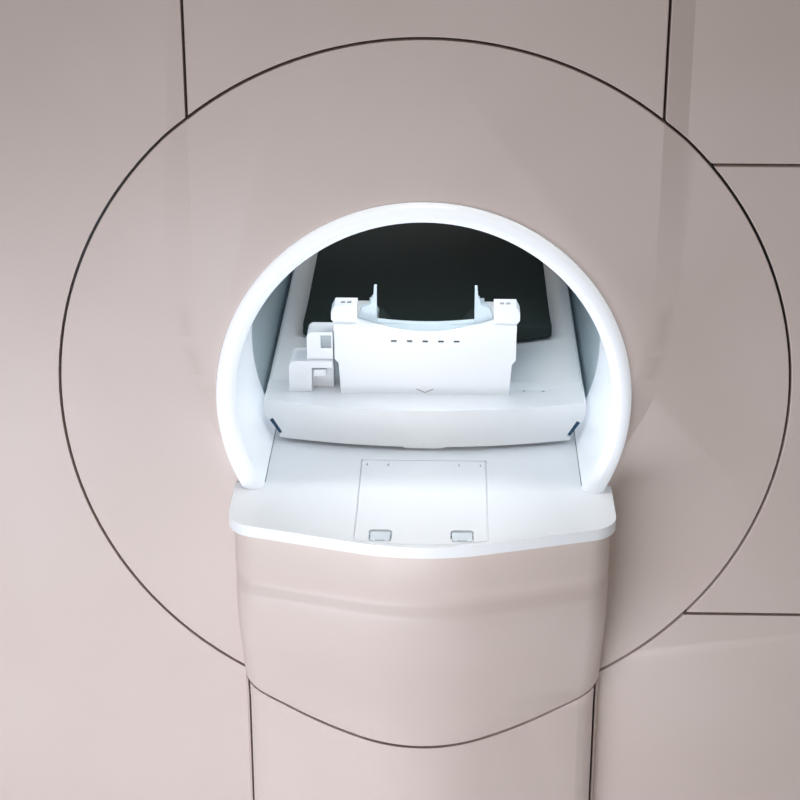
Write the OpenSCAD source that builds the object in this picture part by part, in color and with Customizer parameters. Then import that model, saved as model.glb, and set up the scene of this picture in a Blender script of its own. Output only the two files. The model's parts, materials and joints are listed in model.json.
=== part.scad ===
// Whole-body scanner with a wide bore, seen in the photograph from its rear end.
// X is right and Y is away from someone who stands behind the scanner, Z is up.
// The origin is on the floor, straight under the middle of the magnet.

/* [Scanner] */
// Length from the rear cover to the front cover
scanner_len = 1730; // [1650:10:1900]
// Width over the side covers
scanner_w = 2200; // [2160:10:2400]
// Height of the roof above the floor
scanner_h = 2240; // [2220:10:2400]
// Height of the bore's centre above the floor
bore_h = 1070; // [1060:5:1100]
// Clear diameter of the bore
bore_d = 700; // [690:2:710]

/* [Covers] */
// Wall thickness of the moulded covers
cover_wall = 6; // [4:1:8]
// Depth of the stiffening return behind each cover
cover_return = 34; // [24:2:40]
// Width of the seams between covers
seam = 5; // [3:1:8]
// Radius of the round cover's seam
round_seam_r = 682; // [660:2:700]
// Radius of the rounded edge between a face and the sides
edge_r = 60; // [40:5:80]
// Radius of the upper corners of the faces
corner_top_r = 320; // [200:10:400]
// Gap between the covers and the floor
toe_gap = 30; // [20:5:50]
// Half width of the raised centre column at its crest
column_half = 420; // [400:5:440]
// Width of the soft slope beside the column
column_slope = 45; // [30:5:60]
// How far the column stands proud of the side covers
column_rise = 16; // [10:1:20]
// Radius of the column's inward curve beside the bore
column_curve_r = 527; // [500:5:560]
// Height above the bore's centre where the curve starts
column_curve_z = 200; // [180:5:220]
// Height of the upper right seam above the bore's centre
seam_high = 455; // [420:5:480]
// Depth of the lower right seam below the bore's centre
seam_low = 453; // [420:5:480]
// Half width of the lower centre cover
base_half = 341; // [330:1:343]
// Width of the frame behind the round covers' seams
frame_w = 44; // [36:2:50]
// Thickness of the frame's arms
frame_bar = 40; // [30:5:50]

/* [Rear bore and shelf] */
// Outer radius of the white ring round the rear opening
ring_r = 387; // [384:1:392]
// How far the ring stands proud of the rear cover
ring_proud = 34; // [26:1:38]
// Depth of the white funnel into the bore
funnel_len = 300; // [250:10:340]
// Depth of the shelf's top below the bore's centre
shelf_drop = 178; // [174:1:182]
// Half width of the shelf
shelf_half = 358; // [352:1:362]
// Reach of the shelf out of the rear cover
shelf_reach = 264; // [250:2:276]
// Thickness of the shelf's rim
shelf_t = 22; // [16:1:28]
// Radius of the shelf's front edge in plan
shelf_front_r = 400; // [380:10:440]
// Angle of the shelf's straight flanks in plan
flank_turn = 17; // [14:1:19]
// Radius of the shelf's corners in plan
shelf_corner_r = 60; // [50:5:66]
// Half width of the hatch in the shelf
hatch_half = 120; // [100:5:130]
// Distance of the hatch's front edge from the shelf's front edge
hatch_margin = 12; // [11:1:16]
// Length of the hatch
hatch_len = 369; // [350:1:372]
// Thickness of the hatch
hatch_t = 5; // [4:1:7]
// Gap round the hatch
hatch_gap = 2; // [1.5:0.5:3]
// Width of a hatch latch
latch_w = 36; // [30:1:42]
// Length of a hatch latch
latch_l = 42; // [36:1:48]
// Thickness of a hatch latch
latch_t = 14; // [12:1:15]
// Depth of a latch's top below the shelf's top
latch_sink = 1; // [0.5:0.5:2]
// Radius of a latch's pin
latch_pin_r = 2; // [1.5:0.5:2.5]
// Radius of the finger notch in a latch
latch_notch_r = 5; // [4:0.5:6]
// Distance of a latch behind the hatch's foremost point
latch_inset = 15; // [14:1:18]
// Width of a hinge under the hatch's rear edge
hinge_w = 41; // [36:1:46]
// Distance of a latch from the hatch's centre line
latch_x = 74; // [60:1:85]
// Half width of the pedestal under the shelf
pedestal_half = 350; // [347:1:353]
// Reach of the pedestal under the shelf
pedestal_reach = 246; // [236:2:252]
// Reach of the pedestal at its foot
pedestal_foot_reach = 134; // [120:2:140]
// Depth of the soft groove below the shelf
groove_drop = 128; // [110:2:140]
// Radius of the soft groove's section
groove_r = 34; // [24:2:40]
// Depth of the soft groove
groove_depth = 11; // [8:1:14]

/* [Front] */
// Radius of the seam of the front's round cover
front_seam_r = 760; // [720:10:800]
// Radius of the front flare at the front cover
front_flare_r = 470; // [440:5:490]
// Depth of the front flare into the bore
front_flare_len = 190; // [160:10:220]
// Depth of the front base cover's seam below the bore's centre
front_cut = 500; // [480:10:560]
// Width of a control panel
panel_w = 84; // [76:2:100]
// Height of a control panel
panel_h = 250; // [230:5:270]
// Distance of a control panel from the centre line
panel_x = 610; // [590:5:620]
// Height of the control panels above the bore's centre
panel_z = 40; // [-100:10:120]
// Depth of a control panel
panel_t = 14; // [12:1:18]
// Radius of a table button
button_r = 17; // [14:1:20]
// Travel of a table button
button_travel = 3; // [2:0.5:4]
// Height of a table button above the panel at rest
button_proud = 5; // [4:0.5:7]
// Radius of the stop button's head
stop_r = 20; // [16:1:22]
// Radial clearance of a button in its hole
button_fit = 0.8; // [0.5:0.1:1.2]
// Distance between two buttons
button_pitch = 72; // [60:2:80]

/* [Magnet] */
// Length of the vacuum vessel
vessel_len = 1560; // [1500:10:1600]
// Outer radius of the vacuum vessel
vessel_r = 930; // [900:10:960]
// Inner radius of the vacuum vessel
vessel_bore_r = 452; // [450:1:458]
// Wall thickness of the vacuum vessel
vessel_wall = 12; // [8:1:16]
// Inner radius of the helium vessel
helium_bore_r = 500; // [490:5:520]
// Outer radius of the helium vessel
helium_r = 870; // [840:10:880]
// Length of the helium vessel
helium_len = 1420; // [1350:10:1450]
// Wall thickness of the helium vessel
helium_wall = 8; // [6:1:12]
// Width of a main winding
winding_w = 110; // [90:5:120]
// Depth of a main winding
winding_t = 62; // [40:2:80]
// Outer radius of the gradient coil
gradient_r = 446; // [440:1:448]
// Wall thickness of the gradient coil
gradient_wall = 62; // [55:1:66]
// Length of the gradient coil
gradient_len = 1400; // [1300:10:1450]
// Outer radius of the body coil
body_coil_r = 378; // [374:1:380]
// Width of a rung of the body coil
rung_w = 34; // [26:1:40]
// Number of rungs of the body coil
rung_n = 16; // [12:2:24]
// Length of the body coil
body_coil_len = 620; // [560:10:680]
// Wall thickness of the bore liner
liner_wall = 6; // [5:1:8]
// Half length of the magnet's foot plates along the scanner
foot_len = 260; // [220:10:300]
// Width of a foot plate
foot_w = 180; // [160:10:200]
// Thickness of a foot plate
foot_t = 25; // [20:1:30]
// Spacing of the floor anchors across the scanner
anchor_x = 1180; // [1100:10:1240]
// Spacing of the floor anchors along the scanner
anchor_y = 1140; // [1060:10:1180]
// Radius of a floor anchor's hole
anchor_r = 11; // [9:1:13]
// Distance of the cold head to the right of the middle
cold_x = 560; // [500:10:590]
// Distance of the cold head in front of the middle
cold_y = 260; // [200:10:320]
// Radius of the cold head's neck
cold_r = 62; // [54:2:70]
// Height of the cold head above its outer foot on the vessel
cold_h = 190; // [170:5:210]
// Radius of the vent pipe
vent_r = 90; // [80:5:100]
// Radius of the vent flange
vent_flange_r = 140; // [130:5:150]
// Radius of the bolt circle of the vent flange
vent_bolt_r = 118; // [112:2:120]
// Radius of the vent flange's bolt holes
vent_hole_r = 7; // [5:1:8]
// Height of the vent flange above the roof
vent_rise = 150; // [120:10:200]

/* [Tabletop] */
// Length of the tabletop
top_len = 2350; // [2300:10:2450]
// Half width of the tabletop at its rim
top_half = 320; // [312:1:322]
// Depth of the tabletop's underside below the bore's centre
top_under = 170; // [168:1:173]
// Half width of the tabletop's underside
top_under_half = 288; // [275:1:290]
// Depth of the tabletop's rim below the bore's centre
top_rim = 92; // [88:1:100]
// Depth of the trough in the tabletop
trough_depth = 24; // [16:1:30]
// Half width of the trough
trough_half = 296; // [280:1:300]
// Wall thickness of the tabletop
top_wall = 10; // [8:1:14]
// Place of the tabletop's end, behind the rear cover's plane
top_end_y = 152; // [148:1:170]
// Bow of the tabletop's end in plan
top_end_bow = 50; // [30:5:60]
// Half width of the tongue under the end cap
tongue_half = 40; // [34:1:46]
// Length of the end cap
end_cap_len = 150; // [140:2:160]
// Way of the tabletop out to its home over the table
top_travel_out = 1600; // [1500:10:1640]
// Way of the tabletop deeper into the bore
top_travel_in = 110; // [80:5:120]

/* [Head coil] */
// Half width of the coil's housing at its foot
coil_half = 168; // [164:1:172]
// Length of the coil's housing
coil_len = 270; // [240:5:300]
// Distance of the coil from the tabletop's end
coil_set = 84; // [80:1:95]
// Height of the towers above the bore's centre
tower_top = 94; // [88:1:100]
// Half width over the towers
tower_out = 186; // [184:1:188]
// Depth of a tower along the bore
tower_l = 48; // [40:1:56]
// Depth of a tower below which its side steps in
tower_step = 36; // [30:1:44]
// Height of the side walls behind the towers, above the bore's centre
wall_top = 6; // [0:1:12]
// Half width between the towers
gate_half = 135; // [132:1:138]
// Height of the front wall's dip above the bore's centre
gate_low = 34; // [30:1:38]
// Radius of the front wall's dip
gate_r = 400; // [360:10:440]
// Radius of the head hollow in the housing
hollow_r = 124; // [120:1:126]
// Height of the head hollow's centre above the bore's centre
hollow_z = 42; // [40:1:46]
// Height of the collar's edge above the bore's centre
collar_top = 45; // [42:1:50]
// Sag of the collar's edge between the prongs
collar_sag = 6; // [4:1:8]
// Height of the collar's wings above the bore's centre
wing_top = 85; // [78:1:90]
// Wall of the cradle
cradle_wall = 9; // [7:1:12]
// Clearance between the cradle and the housing
cradle_fit = 0.4; // [0.3:0.1:0.6]
// Thickness of the collar's upright part
collar_t = 16; // [12:1:20]
// Height of the prongs above the bore's centre
prong_top = 122; // [114:1:130]
// Half distance between the prongs
prong_half = 97; // [92:1:100]
// Thickness of the head cushion
cushion_t = 14; // [10:1:18]
// Width of a vent slot in the rim
slot_w = 11; // [8:1:13]
// Depth of the rim under the front wall's dip
rim_w = 30; // [24:1:34]
// Thickness of the rim
rim_t = 8; // [6:1:10]
// Distance between the vent slots
slot_pitch = 31; // [26:1:34]
// Number of vent slots
slot_n = 5; // [3:1:6]
// Left side of the socket housing, from the centre line
socket_out = 272; // [260:1:276]
// Width of the socket housing
socket_w = 88; // [84:1:90]
// Height of the socket housing above the end cap
socket_h = 66; // [58:1:70]
// Width of the coil's plug
plug_w = 52; // [44:1:56]
// Height of the coil's plug above the socket housing
plug_h = 58; // [50:1:64]

/* [Patient table] */
// Gap between the front cover and the table
table_gap = 40; // [20:5:60]
// Length of the table
table_len = 2380; // [2300:10:2500]
// Width of the table's deck
deck_w = 690; // [670:5:740]
// Height of the deck's side walls
deck_h = 150; // [130:5:170]
// Wall of the table's skirts
skirt_wall = 5; // [4:1:8]
// Length of the base skirt
skirt_len = 1500; // [1400:10:1600]
// Width of the base skirt
skirt_w = 560; // [520:10:600]
// Height of the base skirt's top
base_top = 300; // [290:5:310]
// Height of the middle skirt
middle_h = 265; // [255:5:270]
// Running clearance between skirts
skirt_gap = 8; // [6:1:10]
// Travel of the lift
lift_travel = 400; // [360:10:400]
// Length of the table's floor plate
plate_len = 1640; // [1560:10:1700]
// Width of the table's floor plate
plate_w = 600; // [580:10:640]
// Thickness of the table's floor plate
plate_t = 20; // [16:1:24]
// Radius of a support roller
roller_r = 24; // [20:1:28]
// Radius of the drive pulleys
pulley_r = 30; // [26:1:34]
// Thickness of the drive belt
belt_t = 4; // [3:0.5:5]
// Width of the drive belt
belt_w = 30; // [24:1:36]
// Half length of a support roller's shaft
roller_half = 150; // [120:10:200]
// Radius of the shafts
axle_r = 8; // [6:1:10]
// Distance of the rear roller from the table's rear end
roller_in = 120; // [100:10:160]
// Distance of the front roller from the table's far end
roller_out = 500; // [400:10:600]
// Distance of the belt's ends from the table's ends
belt_in = 90; // [80:5:110]
// Radius of a lift column's tube
column_r = 48; // [44:1:52]
// Wall of a lift column's cylinder
column_wall = 12; // [8:1:16]
// Radius of a lift column's rod
rod_r = 36; // [30:1:40]
// Depth of the slide face in the deck's top
deck_lip = 6; // [4:1:8]
// Half width of the deck's spine
spine_half = 60; // [50:5:70]
// Running clearance of a shaft in its hole
shaft_fit = 0.05; // [0.03:0.01:0.08]
// Clearance under the tabletop where it runs
run_gap = 0.4; // [0.3:0.1:0.6]

/* [Hidden] */
$fn = 96;

// Places worked out from the sizes above
bore_r = bore_d / 2;
rear_y = -scanner_len / 2;
face_low = toe_gap - bore_h;
face_top = scanner_h - bore_h;
vessel_inset = (scanner_len - vessel_len) / 2;
ring_fit = 0.3;
bridge_start = funnel_len - top_end_bow;
seat_fit = 0.2;
skirt_step = skirt_wall + skirt_gap;
coil_y = top_end_y + coil_set;
deck_top = bore_h - shelf_drop;
deck_z = deck_top - deck_h;
deck_hollow = deck_h - 2.4 * roller_r;
deck_y = -rear_y + table_gap + table_len / 2;
skirt_y = deck_y;
middle_z = base_top - plate_t - skirt_gap * 2;
upper_z = middle_z + middle_h - 2 * plate_t;
column_low = middle_z - 1.5 * plate_t;
roller_ys = [deck_y - table_len / 2 + roller_in, deck_y + table_len / 2 - roller_out];
roller_z = bore_h - top_under - run_gap - roller_r;
pulley_y = deck_y + table_len / 2 - belt_in;
pulley_z = roller_z - axle_r - belt_t - 3 - pulley_r;
belt_y = deck_y - table_len / 2 + belt_in;

// The covers' colours
warm_white = [0.80, 0.75, 0.73];
clean_white = [0.95, 0.96, 0.97];

// A place at the rear face: Y = 0 is the cover's plane and +Y goes into the scanner
module at_rear() {
    translate([0, rear_y, bore_h]) children();
}

// The same place at the front face, so +Y goes into the scanner there too
module at_front() {
    translate([0, -rear_y, bore_h]) mirror([0, 1, 0]) children();
}

// An outline drawn in X and Z, given a depth along Y from y0 on
module along_y(y0, depth) {
    translate([0, y0 + depth, 0]) rotate([90, 0, 0]) linear_extrude(depth) children();
}

// A profile of radius and place, turned round the bore's axis
module around_bore() {
    rotate([-90, 0, 0]) rotate_extrude($fn = 180) children();
}

// Points along an arc
function arc_points(cx, cy, r, from, to, n) =
    [for (i = [0:n]) let (a = from + (to - from) * i / n) [cx + r * cos(a), cy + r * sin(a)]];

// Round the face: an upright outline with round upper corners, drawn in from the sides
module face_2d(inset) {
    half = scanner_w / 2 - inset;
    top = face_top - inset;
    r = corner_top_r - inset;
    translate([-half, face_low]) square([2 * half, top - r - face_low]);
    translate([-half + r, face_low]) square([2 * (half - r), top - face_low]);
    for (side = [-1, 1]) translate([side * (half - r), top - r]) circle(r);
}

// The part of a face that lies outside a round cover, drawn in by inset
module outside_round_2d(seam_r, inset) {
    difference() {
        face_2d(edge_r + seam + inset);
        circle(seam_r + seam / 2 + inset, $fn = 180);
    }
}

// A rectangle between two places in X and two in Z, drawn in by inset
module band_2d(x0, x1, z0, z1, inset) {
    translate([x0 + inset, z0 + inset]) square([x1 - x0 - 2 * inset, z1 - z0 - 2 * inset]);
}

// The raised column of the rear face, which narrows in two arcs beside the bore
module column_relief() {
    edge = column_half + column_slope;
    axis_x = column_half + column_slope / 2 - column_curve_r;
    translate([0, 0, column_curve_z]) linear_extrude(scanner_h)
        polygon([[-edge, 0], [-column_half, -column_rise], [column_half, -column_rise],
            [edge, 0], [edge, cover_return], [-edge, cover_return]]);
    intersection() {
        narrowed_column(axis_x);
        translate([-edge, -column_rise - 1, column_curve_z - 2 * column_curve_r])
            cube([2 * edge, column_rise + cover_return + 1, 2 * column_curve_r]);
    }
}

// Where the two curved flanks of the column overlap
module narrowed_column(axis_x) {
    intersection() {
        curved_flank(axis_x);
        mirror([1, 0, 0]) curved_flank(axis_x);
    }
}

// A flat cone whose rim is one curved flank of the column
module curved_flank(axis_x) {
    base = column_curve_r + column_slope / 2;
    translate([axis_x, 0, column_curve_z]) rotate([90, 0, 0]) {
        cylinder(h = column_rise, r1 = base, r2 = base - column_slope, $fn = 180);
        translate([0, 0, -cover_return]) cylinder(h = cover_return, r = base, $fn = 180);
    }
}

// The plan of the shelf and pedestal: a round nose, two straight flanks and round corners
function bowed_plan(half, reach, back) =
    let (
        r = shelf_front_r,
        c = shelf_corner_r,
        turn = flank_turn,
        centre_y = r - reach,
        flank = (half - c - (r - c) * sin(turn)) / cos(turn),
        corner_y = centre_y - (r - c) * cos(turn) + flank * sin(turn),
        right = concat(arc_points(0, centre_y, r, -90, turn - 90, 6),
            arc_points(half - c, corner_y, c, turn - 90, 0, 6))
    )
    concat([for (i = [len(right) - 1:-1:1]) [-right[i][0], right[i][1]]], right,
        [[half, back], [-half, back]]);

// A closed body through rings of points, given from the lowest to the highest
module loft(rings) {
    n = len(rings[0]);
    last = len(rings) - 1;
    sides = [for (k = [0:last - 1], i = [0:n - 1])
        each [[k * n + i, (k + 1) * n + i, k * n + (i + 1) % n],
            [k * n + (i + 1) % n, (k + 1) * n + i, (k + 1) * n + (i + 1) % n]]];
    low_cap = [for (i = [0:n - 1]) i];
    high_cap = [for (i = [n - 1:-1:0]) last * n + i];
    polyhedron([for (ring = rings) each ring], concat(sides, [low_cap, high_cap]));
}

// Reach of the pedestal at a height, with its soft groove
function pedestal_out(z) =
    let (
        bend_z = -shelf_drop - groove_drop - groove_r,
        foot_z = -base_half * 1.9,
        share = min(1, max(0, (bend_z - z) / (bend_z - foot_z))),
        ease = (1 - cos(180 * share)) / 2,
        groove = min(1, abs(z + shelf_drop + groove_drop) / groove_r)
    )
    pedestal_reach - (pedestal_reach - pedestal_foot_reach) * ease
        - groove_depth * (1 + cos(180 * groove)) / 2;

// The pedestal below the shelf, down to the floor, drawn in by inset
module pedestal(inset) {
    top_z = -shelf_drop - shelf_t - inset;
    groove_z = -shelf_drop - groove_drop;
    heights = concat([face_low - inset, -base_half * 1.9],
        [for (i = [5:-1:1]) groove_z - groove_r - i * 58],
        [for (i = [-3:3]) groove_z + i * groove_r / 3], [top_z]);
    loft([for (z = heights) [for (p = bowed_plan(pedestal_half - inset, pedestal_out(z) - inset,
        cover_return + inset)) [p[0], p[1], z]]]);
}

// The whole rear face with its relief, drawn in by inset, with or without the pedestal
module rear_relief(inset, bulge) {
    translate([0, inset, 0]) {
        translate([-scanner_w / 2, 0, face_low - 1])
            cube([scanner_w, cover_return, scanner_h]);
        column_relief();
    }
    if (bulge) pedestal(inset);
}

// A moulded cover: the face's relief inside an outline, hollow behind and open at the back
module rear_cover(bulge) {
    difference() {
        intersection() {
            rear_relief(0, bulge);
            along_y(-pedestal_reach - 1, pedestal_reach + cover_return + 1) children(0);
        }
        intersection() {
            rear_relief(cover_wall, bulge);
            along_y(-pedestal_reach - 1, pedestal_reach + 2 * cover_return) children(1);
        }
    }
}

module rear_round_2d(inset) {
    difference() {
        circle(round_seam_r - seam / 2 - inset, $fn = 180);
        circle(ring_r + ring_fit + inset, $fn = 180);
    }
}

// The round cover runs on under the shelf as the pedestal's upper half
module round_cover_2d(inset) {
    rear_round_2d(inset);
    intersection() {
        band_2d(-pedestal_half, pedestal_half, -round_seam_r, -shelf_drop - shelf_t, inset);
        circle(round_seam_r - seam / 2 - inset, $fn = 180);
    }
}

module rear_round_cover() {
    color(warm_white) at_rear() rear_cover(true) {
        round_cover_2d(0);
        round_cover_2d(cover_wall);
    }
}

module side_panel_2d(x0, x1, z0, z1, inset) {
    intersection() {
        outside_round_2d(round_seam_r, inset);
        band_2d(x0 + seam / 2, x1 - seam / 2, z0 + seam / 2, z1 - seam / 2, inset);
    }
}

// A rear cover outside the round one, between two places in X and two in Z
module rear_panel(x0, x1, z0, z1, bulge) {
    color(warm_white) at_rear() rear_cover(bulge) {
        side_panel_2d(x0, x1, z0, z1, 0);
        side_panel_2d(x0, x1, z0, z1, cover_wall);
    }
}

module rear_top_cover() {
    rear_panel(-column_half, column_half, 0, scanner_h, false);
}

// The left side is one tall cover that steps in under the round one
module left_panel_2d(inset) {
    intersection() {
        outside_round_2d(round_seam_r, inset);
        union() {
            band_2d(-scanner_w, -column_half - seam / 2, -scanner_h, scanner_h, inset);
            band_2d(-scanner_w, -base_half - seam / 2, -scanner_h, 0, inset);
        }
    }
}

module rear_left_cover() {
    color(warm_white) at_rear() rear_cover(true) {
        left_panel_2d(0);
        left_panel_2d(cover_wall);
    }
}

module rear_right_upper_cover() {
    rear_panel(column_half, scanner_w, seam_high, scanner_h, false);
}

module rear_right_middle_cover() {
    rear_panel(column_half, scanner_w, -seam_low, seam_high, false);
}

module rear_right_lower_cover() {
    rear_panel(base_half, scanner_w, -scanner_h, -seam_low, true);
}

module rear_base_cover() {
    rear_panel(-base_half, base_half, -scanner_h, 0, true);
}

// Profile of the rear ring: a soft lip round the opening and a funnel into the bore
module ring_profile() {
    lip_r = (ring_r - bore_r) / 2;
    middle = (ring_r + bore_r) / 2;
    polygon(concat(
        [[bore_r, funnel_len], [bore_r, lip_r - ring_proud]],
        arc_points(middle, lip_r - ring_proud, lip_r, 180, 360, 20),
        [[ring_r, cover_return], [ring_r - cover_wall, cover_return],
            [ring_r - cover_wall, 0], [bore_r + liner_wall, 0],
            [bore_r + liner_wall, funnel_len]]));
}

module rear_bore_ring() {
    color(clean_white) at_rear() difference() {
        around_bore() ring_profile();
        translate([-scanner_w / 2, -scanner_len / 2, -shelf_drop - scanner_h])
            cube([scanner_w, scanner_len, scanner_h]);
    }
}

// A level slab that fills the bore's chord, with its top at the shelf's height
module chord_slab(y0, depth, thick) {
    along_y(y0, depth) intersection() {
        circle(bore_r - ring_fit, $fn = 180);
        translate([-bore_r, -shelf_drop - thick]) square([2 * bore_r, thick]);
    }
}

module hatch_plan(gap) {
    intersection() {
        polygon(bowed_plan(shelf_half, shelf_reach - hatch_margin + gap, hatch_len));
        translate([-hatch_half - gap, -shelf_reach])
            square([2 * (hatch_half + gap), hatch_len + gap]);
    }
}

module rear_shelf() {
    recess = hatch_t + seat_fit;
    color(clean_white) at_rear() difference() {
        union() {
            translate([0, 0, -shelf_drop - shelf_t]) linear_extrude(shelf_t)
                polygon(bowed_plan(shelf_half, shelf_reach, 0));
            chord_slab(-seam, bridge_start + seam, shelf_t);
        }
        translate([0, 0, -shelf_drop - recess]) linear_extrude(shelf_t) hatch_plan(hatch_gap);
        for (side = [-1, 1]) latch_place(side) {
            latch_well(ring_fit);
            latch_pin(latch_w + 3 * seam, latch_pin_r + shaft_fit);
        }
    }
}

// A latch lies in a round-cornered well at the hatch's front edge
module latch_place(side) {
    translate([side * latch_x, hatch_margin + latch_inset + latch_l / 2 - shelf_reach, -shelf_drop])
        children();
}

module latch_2d(gap) {
    r = latch_w / 4;
    half = latch_w / 2 + gap;
    long = latch_l / 2 + gap;
    for (x = [-1, 1], y = [-1, 1]) translate([x * (half - r), y * (long - r)]) circle(r);
    square([2 * (half - r), 2 * long], center = true);
    square([2 * half, 2 * (long - r)], center = true);
}

module latch_well(gap) {
    translate([0, 0, -latch_sink - latch_t - gap]) linear_extrude(shelf_t) latch_2d(seam / 2);
}

// A pin across the latch, in the middle of its round rear end
module latch_pin(length, r) {
    translate([0, (latch_l - latch_t) / 2, -latch_sink - latch_t / 2]) rotate([0, 90, 0])
        cylinder(h = length, r = r, center = true);
}

module shelf_hatch() {
    color(clean_white) at_rear() difference() {
        translate([0, 0, -shelf_drop - hatch_t]) linear_extrude(hatch_t) hatch_plan(0);
        for (side = [-1, 1]) latch_place(side) latch_well(0);
        for (side = [-1, 1], x = [hatch_half - 2 * seam, hatch_half - 2 * seam - hinge_w])
            translate([side * x, hatch_len - shelf_reach - 4 * seam, -shelf_drop])
                cube([hatch_gap, 2 * seam, 3 * hatch_t], center = true);
    }
}

// A flush paddle with a finger notch, which lifts about the pin at its rear end
module shelf_latch(side) {
    color([0.93, 0.95, 0.97]) at_rear() latch_place(side) {
        difference() {
            intersection() {
                translate([0, 0, -latch_sink - latch_t]) linear_extrude(latch_t) latch_2d(0);
                union() {
                    translate([-latch_w, -latch_l, -shelf_t])
                        cube([2 * latch_w, (3 * latch_l - latch_t) / 2, 2 * shelf_t]);
                    latch_pin(2 * latch_w, latch_t / 2);
                }
            }
            translate([0, -latch_l / 2, -latch_sink]) rotate([0, 90, 0])
                cylinder(h = latch_w / 2, r = latch_notch_r, center = true);
        }
        latch_pin(latch_w + 2 * seam, latch_pin_r);
    }
}

module shelf_latch_left() {
    shelf_latch(-1);
}

module shelf_latch_right() {
    shelf_latch(1);
}

// A quarter-round edge between a face and the sides
module edge_section() {
    intersection() {
        difference() {
            circle(edge_r);
            circle(edge_r - cover_wall);
        }
        translate([0, -edge_r]) square(edge_r);
    }
}

module edge_ring() {
    half = scanner_w / 2;
    run = half - corner_top_r;
    high = face_top - edge_r;
    for (turn = [0, 1]) mirror([turn, 0, 0]) {
        translate([half - edge_r, edge_r, face_low])
            linear_extrude(face_top - corner_top_r - face_low) edge_section();
        translate([run, edge_r, face_top - corner_top_r]) rotate([0, -90, 0])
            rotate([-90, 0, 0]) rotate_extrude(angle = 90, $fn = 180)
                translate([corner_top_r - edge_r, 0]) edge_section();
    }
    translate([run, edge_r, high]) rotate([0, -90, 0]) linear_extrude(2 * run) edge_section();
}

module rear_edge_cover() {
    color(warm_white) at_rear() edge_ring();
}

module front_edge_cover() {
    color(warm_white) at_front() edge_ring();
}

// Half of the wrap round the sides and the roof, with an opening for the vent pipe
module side_cover(side) {
    color(warm_white) at_rear() difference() {
        along_y(edge_r, scanner_len - 2 * edge_r) intersection() {
            difference() {
                face_2d(0);
                face_2d(cover_wall);
            }
            translate([side > 0 ? seam / 2 : -scanner_w, face_low])
                square([scanner_w - seam / 2, scanner_h]);
        }
        translate([0, scanner_len / 2, 0]) cylinder(h = scanner_h, r = vent_r + seam);
    }
}

module left_side_cover() {
    side_cover(-1);
}

module right_side_cover() {
    side_cover(1);
}

// A flat front cover: a plate inside an outline with a return all round
module front_cover() {
    color(warm_white) at_front() difference() {
        along_y(0, cover_return) children(0);
        along_y(cover_wall, cover_return) children(1);
    }
}

module front_round_2d(inset) {
    difference() {
        circle(front_seam_r - seam / 2 - inset, $fn = 180);
        circle(front_flare_r + ring_fit + inset, $fn = 180);
        band_2d(-scanner_w, scanner_w, -scanner_h, -front_cut - seam / 2, -inset);
    }
}

module front_panel_2d(x0, x1, z0, z1, inset) {
    intersection() {
        outside_round_2d(front_seam_r, inset);
        band_2d(x0 + seam / 2, x1 - seam / 2, z0 + seam / 2, z1 - seam / 2, inset);
    }
}

module front_round_cover() {
    difference() {
        front_cover() {
            front_round_2d(0);
            front_round_2d(cover_wall);
        }
        at_front() for (side = [-1, 1]) panel_place(side)
            panel_box(panel_w / 2 - seam, panel_h / 2 - seam, -cover_return, 2 * cover_return);
    }
}

module front_top_cover() {
    front_cover() {
        front_panel_2d(-column_half, column_half, 0, scanner_h, 0);
        front_panel_2d(-column_half, column_half, 0, scanner_h, cover_wall);
    }
}

module front_left_cover() {
    front_cover() {
        front_panel_2d(-scanner_w, -column_half, -front_cut, scanner_h, 0);
        front_panel_2d(-scanner_w, -column_half, -front_cut, scanner_h, cover_wall);
    }
}

module front_right_cover() {
    front_cover() {
        front_panel_2d(column_half, scanner_w, -front_cut, scanner_h, 0);
        front_panel_2d(column_half, scanner_w, -front_cut, scanner_h, cover_wall);
    }
}

// The lower front is one wide cover, hidden by the table
module front_base_2d(inset) {
    intersection() {
        face_2d(edge_r + seam + inset);
        band_2d(-scanner_w, scanner_w, -scanner_h, -front_cut - seam / 2, inset);
    }
}

module front_base_cover() {
    front_cover() {
        front_base_2d(0);
        front_base_2d(cover_wall);
    }
}

// The front flare opens in a quarter curve from the bore to the face
module flare_profile() {
    wide = front_flare_r - bore_r;
    polygon(concat(
        [for (i = [0:20]) let (a = 90 * i / 20)
            [bore_r + wide * (1 - cos(a)), front_flare_len * (1 - sin(a))]],
        [[front_flare_r, cover_return], [front_flare_r - cover_wall, cover_return]],
        [for (i = [17:-1:2]) let (a = 90 * i / 20)
            [bore_r + liner_wall + wide * (1 - cos(a)),
                front_flare_len * (1 - sin(a)) + liner_wall]],
        [[bore_r + liner_wall, front_flare_len]]));
}

module front_bore_ring() {
    color(clean_white) at_front() around_bore() flare_profile();
}

// A control panel stands beside the front flare
module panel_place(side) {
    translate([side * panel_x, 0, panel_z]) children();
}

module panel_box(half_w, half_h, y0, depth) {
    r = panel_w / 6;
    along_y(y0, depth) {
        square([2 * (half_w - r), 2 * half_h], center = true);
        square([2 * half_w, 2 * (half_h - r)], center = true);
        for (x = [-1, 1], z = [-1, 1]) translate([x * (half_w - r), z * (half_h - r)]) circle(r);
    }
}

// A button's place: step 1 is the upper button, 0 the lower one and -1 the stop button
module button_place(side, step) {
    panel_place(side) translate([0, 0, step * button_pitch]) children();
}

module control_panel(side) {
    color([0.86, 0.88, 0.90]) at_front() difference() {
        panel_place(side) {
            panel_box(panel_w / 2, panel_h / 2, -panel_t, panel_t);
            panel_box(panel_w / 2 - seam - seat_fit, panel_h / 2 - seam - seat_fit,
                -seat_fit, cover_return);
        }
        for (step = [-1:1]) button_place(side, step)
            along_y(-panel_t - 1, panel_t + cover_return / 2) circle(button_r + button_fit);
    }
}

module control_panel_left() {
    control_panel(-1);
}

module control_panel_right() {
    control_panel(1);
}

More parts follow.
